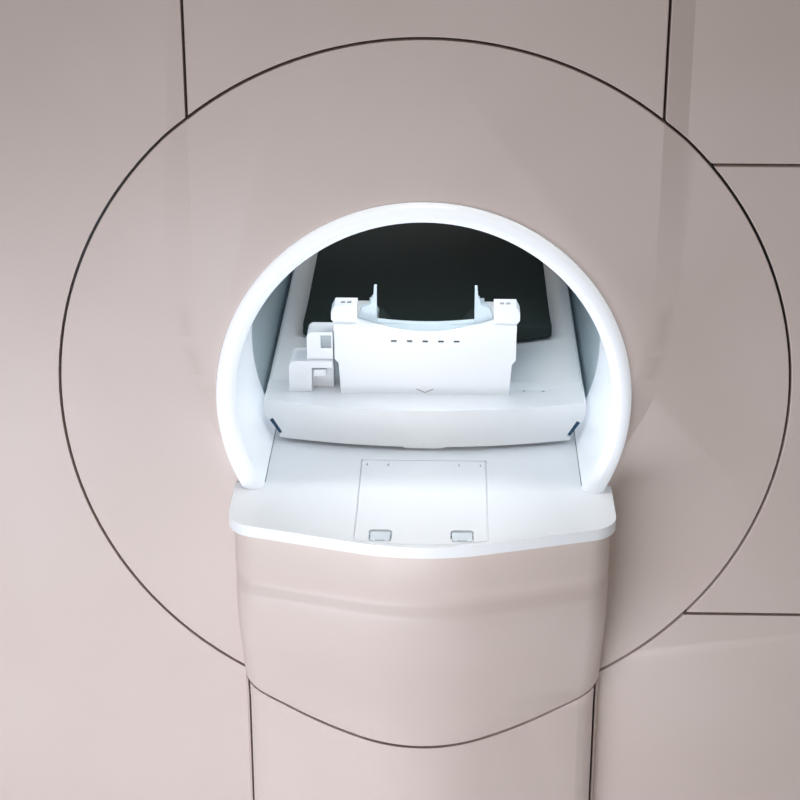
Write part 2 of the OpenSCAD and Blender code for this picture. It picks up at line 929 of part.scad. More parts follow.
// A push button: a cap on a stem of the same radius, with a chevron recess for its sense
module table_button(side, step) {
    high = panel_t + button_proud;
    color([0.30, 0.52, 0.62]) at_front() button_place(side, step) difference() {
        along_y(-high, high + cover_return / 2 - button_travel - 1 - seat_fit) circle(button_r);
        for (arm = [-1, 1]) translate([0, -high, step > 0 ? 4 : -4]) rotate([0, arm * 45, 0])
            translate([-2, -1, step > 0 ? -10 : -2]) cube([3, 2, 12]);
    }
}

module stop_button(side) {
    high = panel_t + button_proud;
    color([0.78, 0.12, 0.10]) at_front() button_place(side, -1) {
        along_y(-high, high + cover_return / 2 - button_travel - 1 - seat_fit) circle(button_r);
        along_y(-high - button_r / 2, button_r / 2 + button_proud - button_travel - seat_fit)
            circle(stop_r);
    }
}

module up_button_left() {
    table_button(-1, 1);
}

module down_button_left() {
    table_button(-1, 0);
}

module stop_button_left() {
    stop_button(-1);
}

module up_button_right() {
    table_button(1, 1);
}

module down_button_right() {
    table_button(1, 0);
}

module stop_button_right() {
    stop_button(1);
}

// A ring on feet between the vessel's end and the covers, with arms to the side covers
module frame_half(seam_r) {
    out_x = seam_r + frame_w / 2 - 2;
    depth = vessel_inset - cover_return - seat_fit;
    around_bore() translate([seam_r - frame_w / 2, cover_return]) square([frame_w, cover_wall]);
    for (turn = [45:90:315]) rotate([0, turn, 0])
        along_y(cover_return + cover_wall - 1, depth - cover_wall + 1)
            translate([seam_r, 0]) circle(frame_w / 3);
    for (side = [0, 1]) mirror([side, 0, 0]) {
        translate([out_x, cover_return, -frame_bar / 2]) cube([frame_bar, depth, frame_bar]);
        translate([out_x, edge_r + seat_fit, -frame_bar / 2])
            cube([scanner_w / 2 - cover_wall - seat_fit - out_x,
                vessel_inset - edge_r - 2 * seat_fit, frame_bar]);
    }
}

module cover_frame() {
    color([0.45, 0.47, 0.50]) {
        at_rear() frame_half(round_seam_r);
        at_front() frame_half(front_seam_r);
    }
}

// A closed ring-shaped vessel about the bore's axis, hollow inside
module ring_vessel(length, inner, outer, wall) {
    translate([0, 0, bore_h]) around_bore() difference() {
        translate([inner, -length / 2]) square([outer - inner, length]);
        translate([inner + wall, -length / 2 + wall])
            square([outer - inner - 2 * wall, length - 2 * wall]);
    }
}

module vacuum_vessel() {
    color([0.82, 0.84, 0.86]) ring_vessel(vessel_len, vessel_bore_r, vessel_r, vessel_wall);
}

// The helium vessel stands on short straps inside the vacuum vessel
module helium_vessel() {
    color([0.72, 0.74, 0.77]) {
        ring_vessel(helium_len, helium_bore_r, helium_r, helium_wall);
        for (y = [-1, 1], turn = [30:60:330])
            translate([0, y * helium_len / 3, bore_h]) rotate([0, turn, 0])
                translate([helium_r - 1, 0, 0]) rotate([0, 90, 0])
                    cylinder(h = vessel_r - vessel_wall - seat_fit - helium_r + 1, r = 14);
    }
}

// Superconducting windings in pairs about the middle, on the helium vessel's inner wall
module main_windings() {
    wind_r = helium_bore_r + helium_wall + seat_fit;
    color([0.72, 0.45, 0.20]) translate([0, 0, bore_h]) around_bore()
        for (place = [0.14, 0.46, 0.84], side = [-1, 1])
            translate([wind_r, side * place * (helium_len - winding_w) / 2 - winding_w / 2
                + side * winding_w * (place < 0.2 ? 0.2 : 0)])
                square([winding_t * (place > 0.8 ? 2 : 1), winding_w]);
}

module gradient_coil() {
    pad_r = 30;
    pad_end = sqrt(pow(vessel_bore_r - seat_fit, 2) - pow(pad_r, 2));
    color([0.55, 0.60, 0.42]) translate([0, 0, bore_h]) {
        around_bore() translate([gradient_r - gradient_wall, -gradient_len / 2])
            square([gradient_wall, gradient_len]);
        for (y = [-1, 1], turn = [45:90:315]) rotate([0, turn, 0])
            translate([gradient_r - 1, y * gradient_len / 2.4, 0]) rotate([0, 90, 0])
                cylinder(h = pad_end - gradient_r + 1, r = pad_r);
    }
}

// The body coil: a former with two end rings joined by rungs
module body_coil() {
    former_r = bore_r + liner_wall + ring_fit;
    rung_t = (body_coil_r - former_r) / 2;
    color([0.78, 0.50, 0.28]) translate([0, 0, bore_h]) {
        around_bore() {
            translate([former_r, -body_coil_len / 2]) square([rung_t, body_coil_len]);
            for (side = [-1, 1])
                translate([former_r + rung_t - 0.5,
                    side * (body_coil_len - 2 * rung_w) / 2 - rung_w / 2])
                    square([rung_t / 2 + 0.5, rung_w]);
        }
        for (turn = [0:360 / rung_n:359]) rotate([0, turn, 0])
            translate([former_r + rung_t / 2, -body_coil_len / 2 + rung_w, -rung_w / 2])
                cube([rung_t, body_coil_len - 2 * rung_w, rung_w]);
    }
}

module bore_liner() {
    color([0.70, 0.76, 0.80]) at_rear() around_bore() translate([bore_r, funnel_len])
        square([liner_wall, scanner_len - funnel_len - front_flare_len]);
}

// The bridge under the tabletop: a chord of the bore with two slide rails
module bore_bridge() {
    length = scanner_len - bridge_start;
    rail_w = 36;
    rail_set = cover_return;
    color([0.90, 0.93, 0.95]) at_rear() {
        chord_slab(bridge_start, length, shelf_t * 1.5);
        for (side = [-1, 1])
            translate([side * top_under_half * 0.62 - rail_w / 2, bridge_start + rail_set,
                -shelf_drop - 1])
                cube([rail_w, length - rail_set, shelf_drop - top_under - run_gap + 1]);
    }
}

module cold_head() {
    foot_z = bore_h + sqrt(pow(vessel_r, 2) - pow(cold_x + cold_r, 2));
    color([0.80, 0.81, 0.83]) difference() {
        translate([cold_x, cold_y, foot_z]) {
            cylinder(h = cold_h * 0.7, r = cold_r);
            translate([0, 0, cold_h * 0.68]) cylinder(h = cold_h * 0.08, r = cold_r * 1.3);
            cylinder(h = cold_h, r = cold_r * 0.7);
        }
        translate([0, vessel_len / 2, bore_h]) rotate([90, 0, 0])
            cylinder(h = vessel_len, r = vessel_r + seat_fit, $fn = 180);
    }
}

// The vent turret: a neck on the vessel, a pipe through the roof and a bolted flange
module vent_turret() {
    neck_r = vent_r * 1.7;
    flange_t = 16;
    foot_z = bore_h + sqrt(pow(vessel_r, 2) - pow(neck_r, 2)) - 1;
    flange_z = scanner_h + vent_rise - flange_t;
    color([0.80, 0.81, 0.83]) difference() {
        union() {
            translate([0, 0, foot_z]) cylinder(h = 80, r = neck_r);
            translate([0, 0, foot_z]) cylinder(h = flange_z - foot_z, r = vent_r);
            translate([0, 0, flange_z]) cylinder(h = flange_t, r = vent_flange_r);
        }
        translate([0, vessel_len / 2, bore_h]) rotate([90, 0, 0])
            cylinder(h = vessel_len, r = vessel_r + seat_fit, $fn = 180);
        for (turn = [22.5:45:360]) rotate(turn) translate([vent_bolt_r, 0, flange_z - 1])
            cylinder(h = flange_t + 2, r = vent_hole_r);
    }
}

// Four legs carry the vessel, each on a plate with one floor anchor
module magnet_feet() {
    leg_w = foot_w * 0.6;
    color([0.50, 0.52, 0.55]) for (sx = [0, 1], sy = [0, 1])
        mirror([sx, 0, 0]) mirror([0, sy, 0]) difference() {
            union() {
                translate([anchor_x / 2 - foot_w + leg_w / 2, anchor_y / 2 - foot_len / 2, 0])
                    cube([foot_w, foot_len, foot_t]);
                translate([anchor_x / 2 - foot_w + leg_w / 2, anchor_y / 2 - foot_len / 4, 0])
                    cube([leg_w, foot_len / 2, bore_h / 2]);
            }
            translate([0, anchor_y, bore_h]) rotate([90, 0, 0])
                cylinder(h = anchor_y, r = vessel_r + seat_fit, $fn = 180);
            translate([anchor_x / 2, anchor_y / 2, -1]) cylinder(h = foot_t + 2, r = anchor_r);
        }
}

// A long skirt: a tube with round corners, open above and below
module skirt_2d(half_w, half_l) {
    r = half_w / 4;
    square([2 * (half_w - r), 2 * half_l], center = true);
    square([2 * half_w, 2 * (half_l - r)], center = true);
    for (x = [-1, 1], y = [-1, 1]) translate([x * (half_w - r), y * (half_l - r)]) circle(r);
}

module skirt(inset, z0, high) {
    translate([0, skirt_y, z0]) linear_extrude(high) difference() {
        skirt_2d(skirt_w / 2 - inset, skirt_len / 2 - inset);
        skirt_2d(skirt_w / 2 - inset - skirt_wall, skirt_len / 2 - inset - skirt_wall);
    }
}

module table_base() {
    color([0.88, 0.88, 0.88]) {
        translate([0, skirt_y, 0]) linear_extrude(plate_t) skirt_2d(plate_w / 2, plate_len / 2);
        skirt(0, plate_t, base_top - plate_t);
    }
}

// Slide pads low on the outside of a skirt, against the skirt round it
module skirt_pads(inset, z0) {
    pad_t = skirt_gap - run_gap;
    for (side = [-1, 1], y = [-1, 1])
        translate([side * (skirt_w / 2 - inset + pad_t / 2 - 0.5), skirt_y + y * skirt_len / 3,
            z0 + plate_t / 2]) cube([pad_t + 1, 4 * plate_t, plate_t], center = true);
}

module table_middle_skirt() {
    color([0.80, 0.82, 0.84]) {
        skirt(skirt_step, middle_z, middle_h);
        skirt_pads(skirt_step, middle_z);
    }
}

// The deck: a trough on rollers and belt, with the upper skirt under it
module table_deck() {
    pocket = roller_r + 2;
    color([0.93, 0.94, 0.95]) difference() {
        union() {
            skirt(2 * skirt_step, upper_z, deck_z + deck_hollow - upper_z);
            skirt_pads(2 * skirt_step, upper_z);
            translate([0, deck_y, deck_z]) linear_extrude(deck_top - deck_z)
                skirt_2d(deck_w / 2, table_len / 2);
        }
        translate([-top_half - 8, deck_y - table_len, deck_top - deck_lip])
            cube([2 * top_half + 16, 2 * table_len, deck_lip + 1]);
        difference() {
            translate([-belt_w, belt_y - 2 * pulley_r, pulley_z - pulley_r - 2 * belt_t])
                cube([2 * belt_w, pulley_y - belt_y + 4 * pulley_r, deck_h]);
            translate([-belt_w, belt_y, pulley_z]) rotate([0, 90, 0])
                cylinder(h = 2 * belt_w, r = pulley_r);
        }
        for (side = [0, 1]) mirror([side, 0, 0]) difference() {
            translate([spine_half, deck_y - table_len / 2 + 2 * spine_half, deck_z - 1])
                cube([deck_w / 2 - spine_half - 3 * skirt_wall, table_len - 4 * spine_half,
                    deck_hollow + 1]);
            skirt(2 * skirt_step, deck_z - 2, deck_h);
        }
        for (y = roller_ys) translate([-roller_half - 1, y - pocket, roller_z - pocket])
            cube([2 * roller_half + 2, 2 * pocket, 3 * pocket]);
        for (y = roller_ys) translate([-roller_half - 20, y, roller_z]) rotate([0, 90, 0])
            cylinder(h = 2 * roller_half + 40, r = axle_r + shaft_fit);
        translate([-belt_w - 15, pulley_y, pulley_z]) rotate([0, 90, 0])
            cylinder(h = 2 * belt_w + 30, r = axle_r + shaft_fit);
    }
}

module support_roller(y) {
    color([0.35, 0.37, 0.40]) translate([0, y, roller_z]) rotate([0, 90, 0]) {
        cylinder(h = 2 * roller_half + 36, r = axle_r, center = true);
        for (x = [-1, 1]) translate([0, 0, x * roller_half * 0.62])
            cylinder(h = roller_half * 0.6, r = roller_r, center = true);
    }
}

module rear_roller() {
    support_roller(roller_ys[0]);
}

module front_roller() {
    support_roller(roller_ys[1]);
}

// The drive pulley turns under the belt at the table's far end
module drive_pulley() {
    color([0.40, 0.42, 0.45]) translate([0, pulley_y, pulley_z]) rotate([0, 90, 0])
        difference() {
            union() {
                cylinder(h = 2 * belt_w + 24, r = axle_r, center = true);
                cylinder(h = belt_w + 6, r = pulley_r, center = true);
            }
            for (turn = [0:60:300]) rotate(turn) translate([pulley_r * 0.62, 0, 0])
                cylinder(h = 2 * belt_w, r = pulley_r / 6, center = true);
        }
}

module belt_loop(r, width) {
    translate([-width / 2, 0, 0]) {
        for (y = [belt_y, pulley_y]) translate([0, y, pulley_z]) rotate([0, 90, 0])
            cylinder(h = width, r = r);
        translate([0, belt_y, pulley_z - r]) cube([width, pulley_y - belt_y, 2 * r]);
    }
}

module drive_belt() {
    color([0.15, 0.15, 0.16]) difference() {
        belt_loop(pulley_r + ring_fit + belt_t, belt_w);
        belt_loop(pulley_r + ring_fit, belt_w + 2);
    }
}

// Two telescopic columns lift the deck: a fixed cylinder, a tube and a rod
module column_places() {
    for (side = [-1, 1]) translate([0, skirt_y + side * skirt_len / 4, 0]) children();
}

module lift_cylinder() {
    color([0.55, 0.57, 0.60]) column_places() difference() {
        translate([0, 0, plate_t]) cylinder(h = base_top - 1.5 * plate_t, r = column_r + column_wall);
        translate([0, 0, 1.2 * plate_t]) cylinder(h = base_top, r = column_r + shaft_fit);
    }
}

module lift_tube() {
    color([0.70, 0.72, 0.75]) column_places() translate([0, 0, column_low]) difference() {
        cylinder(h = middle_z + middle_h - column_low - plate_t / 2, r = column_r);
        translate([0, 0, -1]) cylinder(h = middle_h + base_top, r = rod_r + shaft_fit);
    }
}

module lift_rod() {
    low = upper_z - 2 * plate_t;
    color([0.78, 0.80, 0.83]) column_places()
        translate([0, 0, low]) cylinder(h = deck_z - low, r = rod_r);
}

// Section of the tabletop, with or without the trough the patient lies in
module tabletop_2d(trough) {
    bow_r = (pow(trough_half, 2) + pow(trough_depth, 2)) / (2 * trough_depth);
    shoulder = (top_under - top_rim) / 4;
    difference() {
        polygon([[-top_under_half, -top_under], [top_under_half, -top_under],
            [top_half - 6, -top_under + 2 * shoulder], [top_half, -top_rim - 1.4 * shoulder],
            [top_half, -top_rim - shoulder / 4], [top_half - 5, -top_rim],
            [5 - top_half, -top_rim], [-top_half, -top_rim - shoulder / 4],
            [-top_half, -top_rim - 1.4 * shoulder], [6 - top_half, -top_under + 2 * shoulder]]);
        if (trough) translate([0, bow_r - top_rim - trough_depth]) circle(bow_r, $fn = 360);
    }
}

module tabletop() {
    color(clean_white) at_rear() along_y(top_end_y + end_cap_len, top_len - end_cap_len)
        tabletop_2d(true);
}

// The end cap has a bowed face, a tongue under its middle and a slot in each lower corner
module tabletop_end_cap() {
    bow_r = (pow(top_half, 2) + pow(top_end_bow, 2)) / (2 * top_end_bow);
    shoulder = (top_under - top_rim) / 4;
    slot_x = (top_under_half + top_half - 6) / 2;
    slope = atan2(2 * shoulder, top_half - 6 - top_under_half);
    color(clean_white) at_rear() difference() {
        intersection() {
            along_y(top_end_y, end_cap_len - seat_fit) union() {
                tabletop_2d(false);
                translate([-tongue_half, -top_under - 3]) square([2 * tongue_half, 4]);
            }
            translate([0, top_end_y + bow_r, -bore_r]) cylinder(h = bore_r, r = bow_r, $fn = 720);
        }
        for (side = [-1, 1])
            translate([side * slot_x, top_end_y + top_end_bow, -top_under + shoulder])
                rotate([0, -side * slope, 0]) cube([1.8 * shoulder, 2 * shoulder, 4 * seam],
                    center = true);
        for (x = [top_half * 0.62, top_half * 0.74])
            translate([x, top_end_y + end_cap_len * 0.7, -top_rim - 1]) cylinder(h = 2, r = 3.5);
    }
}

// The dip in the front wall between the towers, drawn in by gap
module gate_2d(gap) {
    intersection() {
        translate([0, gate_low + gate_r]) circle(gate_r - gap, $fn = 360);
        translate([-gate_half + gap, gate_low - 1]) square([2 * (gate_half - gap), gate_r]);
    }
}

// Outline of the coil's housing up to a height
module housing_2d(top) {
    foot = -top_rim;
    waist = foot * 0.3;
    body_half = coil_half + 12;
    step_z = min(top, tower_top - tower_step);
    side = [[coil_half, foot], [coil_half + 4, waist], [body_half, waist + 10],
        [body_half, step_z], [tower_out, step_z + 8], [tower_out, top - 14],
        [tower_out - 7, top]];
    right = top > step_z ? side : [for (i = [0:3]) side[i]];
    polygon(concat(right, [for (i = [len(right) - 1:-1:0]) [-right[i][0], right[i][1]]]));
}

// The lower half of the head coil: a moulded block with a round hollow behind two towers
module head_coil_housing() {
    bow_r = (pow(trough_half, 2) + pow(trough_depth, 2)) / (2 * trough_depth);
    cap_end = top_end_y + end_cap_len;
    rim_r = gate_r + rim_w;
    color([0.94, 0.95, 0.96]) at_rear() difference() {
        union() {
            along_y(coil_y, tower_l) difference() {
                housing_2d(tower_top);
                gate_2d(0);
            }
            along_y(coil_y + tower_l - 1, coil_len - tower_l + 1) housing_2d(wall_top);
            along_y(coil_y - rim_t, rim_t + 1) difference() {
                intersection() {
                    housing_2d(tower_top - tower_step);
                    translate([0, gate_low + gate_r]) circle(rim_r, $fn = 360);
                }
                gate_2d(0);
            }
            along_y(cap_end + seat_fit, coil_y + coil_len - cap_end - 2 * seat_fit)
                intersection() {
                    translate([0, bow_r - top_rim - trough_depth + seat_fit])
                        circle(bow_r, $fn = 360);
                    translate([-coil_half + 12, -top_rim - trough_depth])
                        square([2 * coil_half - 24, trough_depth + 1]);
                }
        }
        along_y(coil_y + tower_l, coil_len) translate([0, hollow_z]) circle(hollow_r, $fn = 180);
        for (i = [0:slot_n - 1]) translate([(i - (slot_n - 1) / 2) * slot_pitch - slot_w / 2,
            coil_y - rim_t - 1, gate_low - rim_w * 0.4]) cube([slot_w, tower_l / 2, 4]);
        for (side = [-1, 1], x = [-1, 1])
            translate([side * (tower_out - 7 + gate_half) / 2 + x * slot_w * 0.55,
                coil_y + tower_l / 2, tower_top])
                cube([slot_w * 0.8, slot_w, 3 * slot_w], center = true);
    }
}

// Upright outline of the collar, with a wing and a prong on each side
module collar_2d() {
    sag_r = (pow(prong_half, 2) + pow(collar_sag, 2)) / (2 * collar_sag);
    sag_turn = asin(prong_half / sag_r);
    right = [[prong_half, prong_top], [prong_half + 5, prong_top],
        [prong_half + 7, wing_top + 16], [prong_half + 10, wing_top + 14],
        [prong_half + 12, wing_top + 2], [gate_half - 8, wing_top - 6],
        [gate_half - 3, wing_top - 20], [gate_half, gate_low]];
    polygon(concat(
        arc_points(0, collar_top + sag_r, sag_r, -90 - sag_turn, sag_turn - 90, 8),
        right, [for (i = [len(right) - 1:-1:0]) [-right[i][0], right[i][1]]]));
}

// The cradle lines the hollow, and its collar slopes up from the dip to two upright prongs
module head_coil_cradle() {
    out_r = hollow_r - cradle_fit;
    collar_y = coil_y + tower_l - collar_t;
    slope_y = collar_y - (collar_top - gate_low);
    color([0.80, 0.87, 0.90]) at_rear() {
        along_y(coil_y + tower_l, coil_len - tower_l) difference() {
            intersection() {
                translate([0, hollow_z]) circle(out_r, $fn = 180);
                translate([-hollow_r, hollow_z - hollow_r])
                    square([2 * hollow_r, wall_top + 8 - hollow_z + hollow_r]);
            }
            translate([0, hollow_z]) circle(out_r - cradle_wall, $fn = 180);
        }
        along_y(collar_y, collar_t + 1) intersection() {
            gate_2d(cradle_fit);
            collar_2d();
        }
        along_y(coil_y + tower_l, cradle_wall) intersection() {
            translate([0, hollow_z]) circle(out_r, $fn = 180);
            translate([-hollow_r, hollow_z - hollow_r])
                square([2 * hollow_r, gate_low + 4 - hollow_z + hollow_r]);
        }
        difference() {
            along_y(slope_y, collar_y - slope_y + 1) intersection() {
                gate_2d(cradle_fit);
                translate([-gate_half, gate_low - 1])
                    square([2 * gate_half, collar_top - gate_low + 12]);
            }
            translate([0, slope_y, gate_low]) rotate([45, 0, 0])
                translate([-scanner_w / 2, -scanner_len / 2, 0]) cube([scanner_w, scanner_len, 200]);
        }
    }
}

// A thin pad lies in the cradle
module head_cushion() {
    out_r = hollow_r - cradle_fit - cradle_wall - ring_fit;
    start = coil_y + tower_l + cradle_wall + ring_fit;
    color([0.20, 0.24, 0.27]) at_rear() along_y(start, coil_y + coil_len - start - seam)
        intersection() {
            difference() {
                translate([0, hollow_z]) circle(out_r, $fn = 180);
                translate([0, hollow_z]) circle(out_r - cushion_t, $fn = 180);
            }
            translate([-hollow_r, hollow_z - hollow_r])
                square([2 * hollow_r, wall_top - 8 - hollow_z + hollow_r]);
        }
}

// An upright box outline with its upper left corner rounded
module round_left_2d(x0, z0, wide, high, r) {
    translate([x0, z0]) square([wide, high - r]);
    translate([x0 + r, z0]) square([wide - r, high]);
    translate([x0 + r, z0 + high - r]) circle(r);
}

// The socket stands on the left of the coil, with a recess that shows the plug's latch
module coil_socket() {
    low = -top_rim;
    socket_l = coil_len * 0.27;
    recess_l = socket_l * 0.45;
    color([0.93, 0.94, 0.95]) at_rear() difference() {
        along_y(coil_y + seam, socket_l)
            round_left_2d(-socket_out, low + seat_fit, socket_w, socket_h, socket_h / 5);
        along_y(coil_y, recess_l) translate([-socket_out + socket_w * 0.52, low - 1])
            square([socket_w, socket_h * 0.8]);
    }
    color([0.88, 0.92, 0.94]) at_rear() along_y(coil_y + 2 * seam, recess_l)
        translate([-socket_out + socket_w * 0.56, low + socket_h * 0.48])
            square([socket_w * 0.28, socket_h * 0.22]);
}

// The plug stands in the socket, with a grey window beside the coil
module coil_plug() {
    x1 = -socket_out + socket_w;
    low = -top_rim + socket_h + 2 * seat_fit;
    color([0.92, 0.94, 0.96]) at_rear() difference() {
        along_y(coil_y + 3 * seam, coil_len * 0.21)
            round_left_2d(x1 - plug_w, low, plug_w, plug_h, plug_h / 5);
        along_y(coil_y + 3 * seam - 1, seam) translate([x1 - plug_w * 0.46, low + plug_h * 0.42])
            square([plug_w * 0.4, plug_h * 0.46]);
    }
}

// The mattress lies in the trough behind the coil
module mattress() {
    bow_r = (pow(trough_half, 2) + pow(trough_depth, 2)) / (2 * trough_depth);
    start = coil_y + coil_len + 30;
    half = trough_half - 20;
    color([0.22, 0.25, 0.27]) at_rear() along_y(start, top_end_y + top_len - 60 - start)
        intersection() {
            translate([0, bow_r - top_rim - trough_depth + ring_fit]) circle(bow_r, $fn = 360);
            translate([-half, -top_rim - trough_depth]) square([2 * half, trough_depth + 34]);
        }
}

rear_round_cover();
rear_top_cover();
rear_left_cover();
rear_right_upper_cover();
rear_right_middle_cover();
rear_right_lower_cover();
rear_base_cover();
rear_bore_ring();
rear_shelf();
shelf_hatch();
shelf_latch_left();
shelf_latch_right();
rear_edge_cover();
front_edge_cover();
left_side_cover();
right_side_cover();
front_round_cover();
front_top_cover();
front_left_cover();
front_right_cover();
front_base_cover();
front_bore_ring();
control_panel_left();
control_panel_right();
up_button_left();
down_button_left();
stop_button_left();
up_button_right();
down_button_right();
stop_button_right();
cover_frame();
vacuum_vessel();
helium_vessel();
main_windings();
gradient_coil();
body_coil();
bore_liner();
bore_bridge();
cold_head();
vent_turret();
magnet_feet();
table_base();
table_middle_skirt();
table_deck();
lift_cylinder();
lift_tube();
lift_rod();
rear_roller();
front_roller();
drive_pulley();
drive_belt();
tabletop();
tabletop_end_cap();
head_coil_housing();
head_coil_cradle();
head_cushion();
coil_socket();
coil_plug();
mattress();
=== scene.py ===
# %% [markdown]
# # A wide-bore scanner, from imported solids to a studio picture
# The CAD solids arrive as a fixed frame: each one has its place, its body and its joints.
# This lesson gives them what a solid lacks, which is soft edges, finishes, padded pieces,
# light and a camera. Nothing here moves or resizes the solids.

# %% Load the frame
import json
import math

import bmesh
import bpy
from mathutils import Matrix, Vector


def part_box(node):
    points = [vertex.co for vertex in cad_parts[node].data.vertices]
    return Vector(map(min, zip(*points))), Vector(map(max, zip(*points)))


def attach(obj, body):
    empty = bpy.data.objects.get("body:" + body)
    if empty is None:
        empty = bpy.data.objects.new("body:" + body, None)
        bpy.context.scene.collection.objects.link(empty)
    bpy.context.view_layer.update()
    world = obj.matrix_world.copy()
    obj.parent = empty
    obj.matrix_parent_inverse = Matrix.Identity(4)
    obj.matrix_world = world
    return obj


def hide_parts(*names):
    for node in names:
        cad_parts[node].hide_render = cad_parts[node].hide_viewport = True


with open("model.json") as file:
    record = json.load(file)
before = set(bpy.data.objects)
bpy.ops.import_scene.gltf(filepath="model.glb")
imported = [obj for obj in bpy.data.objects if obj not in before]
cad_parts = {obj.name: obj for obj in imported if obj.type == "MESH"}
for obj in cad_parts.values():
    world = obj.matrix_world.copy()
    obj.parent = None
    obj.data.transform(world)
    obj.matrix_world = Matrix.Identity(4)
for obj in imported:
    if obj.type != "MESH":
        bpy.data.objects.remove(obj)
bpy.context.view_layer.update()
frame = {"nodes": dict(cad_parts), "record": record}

nodes = frame["nodes"]
record = frame["record"]
body_holding = {n: body for body, held in record["behaviour"]["bodies"].items() for n in held}
slot_of = {row["node"]: row["material_slot"] for row in record["subparts"]}
MM = 0.001

# %% [markdown]
# ## Colours and nodes
# Colours are picked as sRGB hex values, as a paint card gives them, but a shader wants
# linear light. One function turns the first into the second. A second small function adds a
# shader node with its settings and its links in one line, so that a material reads as a list.

# %% Colour and node helpers
def linear(hex_code):
    """sRGB hex to the linear RGBA that a shader socket takes."""
    parts = [int(hex_code[i:i + 2], 16) / 255 for i in (0, 2, 4)]
    return [c / 12.92 if c <= 0.04045 else ((c + 0.055) / 1.055) ** 2.4 for c in parts] + [1.0]


def add_node(tree, kind, inputs=None, **settings):
    """A node with its settings made, and each input set to a value or linked to a socket."""
    node = tree.nodes.new(kind)
    for key, value in settings.items():
        setattr(node, key, value)
    for socket, value in (inputs or {}).items():
        if isinstance(value, bpy.types.NodeSocket):
            tree.links.new(value, node.inputs[socket])
        else:
            node.inputs[socket].default_value = value
    return node


def base_finish(name, colour, roughness, **sockets):
    """A material with a Principled shader in one plain colour, and its sockets set."""
    material = bpy.data.materials.new(name)
    material.use_nodes = True
    shader = material.node_tree.nodes["Principled BSDF"]
    shader.inputs["Base Color"].default_value = linear(colour)
    shader.inputs["Roughness"].default_value = roughness
    for socket, value in sockets.items():
        shader.inputs[socket.replace("_", " ")].default_value = value
    material.diffuse_color = linear(colour)
    return material


# %% [markdown]
# ## Surface relief and clouding
# No moulded or painted face is quite even. Fine relief comes from noise through a Bump node,
# with the noise's scale worked out from the real grain in millimetres and the relief's height
# in metres. Wide, faint clouding comes from a second noise that mixes two close colours. Both
# read Object coordinates, so they stay on the piece from every side and at every pose.

# %% Pattern helpers
def grained(material, grain_mm, height_mm, stretch=(1, 1, 1)):
    """Fine relief with grains of a real size, drawn out along an axis by stretch."""
    tree = material.node_tree
    place = add_node(tree, "ShaderNodeTexCoord")
    turned = add_node(tree, "ShaderNodeMapping", {
        "Vector": place.outputs["Object"], "Scale": stretch})
    noise = add_node(tree, "ShaderNodeTexNoise", {
        "Vector": turned.outputs["Vector"], "Scale": 1 / (grain_mm * MM), "Detail": 3.0})
    bump = add_node(tree, "ShaderNodeBump", {
        "Height": noise.outputs[0], "Distance": height_mm * MM, "Strength": 1.0})
    shader = tree.nodes["Principled BSDF"]
    tree.links.new(bump.outputs["Normal"], shader.inputs["Normal"])
    return material


def clouded(material, second_colour, patch_mm, share=0.5):
    """Wide, faint clouding between the material's colour and a second, close one."""
    tree = material.node_tree
    shader = tree.nodes["Principled BSDF"]
    first = list(shader.inputs["Base Color"].default_value)
    place = add_node(tree, "ShaderNodeTexCoord")
    noise = add_node(tree, "ShaderNodeTexNoise", {
        "Vector": place.outputs["Object"], "Scale": 1 / (patch_mm * MM), "Detail": 2.0})
    spread = add_node(tree, "ShaderNodeMapRange", {
        "Value": noise.outputs[0], "From Min": 0.35, "From Max": 0.65, "To Max": share})
    mix = add_node(tree, "ShaderNodeMix", {
        "Factor": spread.outputs[0], "A": first, "B": linear(second_colour)}, data_type="RGBA")
    tree.links.new(mix.outputs["Result"], shader.inputs["Base Color"])
    return material


# %% [markdown]
# ## The finishes
# Each finish starts from the real material and from how its surface was made, which sets the
# colour, the gloss and the grain. The covers are glass-fibre shells with a warm, spray-painted
# coat: soft, wide highlights and a very fine orange peel. The ring and shelf are glossier.

# %% Finishes
finishes = {}

# spray-painted glass fibre: warm beige, an even satin coat with a fine orange peel
finishes["cover_beige"] = grained(clouded(
    base_finish("painted glass fibre", "D3C6BF", 0.44), "CBBCB4", 420), 2.4, 0.03)

# white acrylic, very white and smooth; a weak emission paints a glow on it, so it stays bright
# under the ring's shaded top
finishes["ring_white"] = base_finish(
    "white acrylic with a painted glow", "F1F6FA", 0.22,
    Emission_Color=linear("EAF3FF"), Emission_Strength=0.30)

# injection-moulded ABS: cool white with a soft shine, and a faint moulding texture
finishes["shelf_white"] = grained(base_finish(
    "moulded white ABS", "F0F4F7", 0.30), 1.6, 0.012)
finishes["latch_white"] = base_finish("moulded nylon", "DCE6EC", 0.38)

# polycarbonate housing of the coil: white, a satin shine, spark-eroded texture
finishes["coil_white"] = grained(base_finish(
    "spark-textured polycarbonate", "F1F4F7", 0.34), 0.9, 0.02)
finishes["cradle_blue"] = grained(base_finish(
    "pale blue polycarbonate", "CFDEE5", 0.30), 0.9, 0.015)

# gel coat over a foam core: hard, glossy and slightly wavy
finishes["tabletop_white"] = grained(base_finish(
    "gel-coated sandwich shell", "F2F5F7", 0.26), 38, 0.05)
finishes["table_white"] = grained(base_finish(
    "painted structural foam", "EDEFF1", 0.34), 3.0, 0.02)
finishes["bridge_white"] = base_finish("moulded bore bridge", "DDE5EA", 0.35)

# gel-coated glass-fibre tube: cool grey and glossy, so it mirrors the light from the ends
finishes["liner_grey"] = grained(clouded(base_finish(
    "gel-coated bore tube", "C6D6DD", 0.28), "BACDD6", 300), 26, 0.04)

